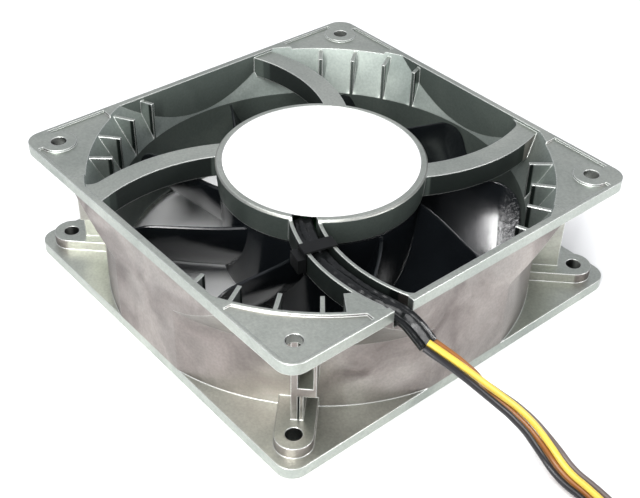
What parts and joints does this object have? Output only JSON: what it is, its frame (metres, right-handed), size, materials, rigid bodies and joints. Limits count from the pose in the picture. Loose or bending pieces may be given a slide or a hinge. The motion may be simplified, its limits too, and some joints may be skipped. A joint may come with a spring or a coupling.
{
  "type": "axial cooling fan",
  "caption": "Square flanged axial cooling fan for servers: die-cast frame with curved struts, ribbed flared corners, bladed impeller on ball bearings and a lead with connector.",
  "frame": {"origin": "centre of the intake face of the frame, on the fan's axis", "axes": "+Z along the fan's axis toward the exhaust face with the label; X and Y square to the sides, the lead leaves through the +X side"},
  "size_m": [0.2216, 0.1356, 0.038],
  "materials": {
    "cast_aluminium": "bare pressure die-casting with flow marks",
    "white_label": "blank matt white label",
    "fan_plastic": "glossy charcoal moulding",
    "brass": "turned",
    "steel": "ground steel",
    "pressed_steel": "drawn sheet steel",
    "ferrite": "bonded ferrite",
    "laminations": "stacked sheets",
    "insulator_plastic": "moulded",
    "enamelled_copper": "enamelled wire",
    "board": "solder resist",
    "component_plastic": "moulded package",
    "capacitor_can": "drawn can",
    "shrink_sleeve": "glossy heat-shrink",
    "tie_nylon": "nylon",
    "wire_insulation": "extruded insulation",
    "connector_plastic": "moulded",
    "gold_contact": "gold-flashed"
  },
  "bodies": {
    "frame": {"housing": "cast_aluminium", "label": "white_label", "bearing_tube": "brass", "upper_bearing_outer_ring": "steel", "upper_bearing_balls": "steel", "lower_bearing_outer_ring": "steel", "lower_bearing_balls": "steel", "stator_core": "laminations", "upper_insulator": "insulator_plastic", "lower_insulator": "insulator_plastic", "stator_windings": "enamelled_copper", "circuit_board": "board", "driver_chip": "component_plastic", "switching_transistors": "component_plastic", "filter_capacitor": "capacitor_can", "hall_sensor": "component_plastic", "cable_sleeve": "shrink_sleeve", "cable_tie": "tie_nylon", "lead_run": "wire_insulation", "lead_coil": "wire_insulation", "lead_tail": "wire_insulation", "connector_housing": "connector_plastic", "connector_contacts": "gold_contact"},
    "rotor": {"impeller": "fan_plastic", "rotor_yoke": "pressed_steel", "ring_magnet": "ferrite", "shaft_bushing": "brass", "shaft": "steel", "retaining_clip": "pressed_steel", "preload_washer": "pressed_steel", "upper_bearing_inner_ring": "steel", "lower_bearing_inner_ring": "steel"}
  },
  "joints": [
    {"name": "impeller_spin", "type": "hinge", "parent": "frame", "child": "rotor", "pos_m": [0, 0, 0.019], "axis": [0, 0, 1], "continuous": true}
  ]
}
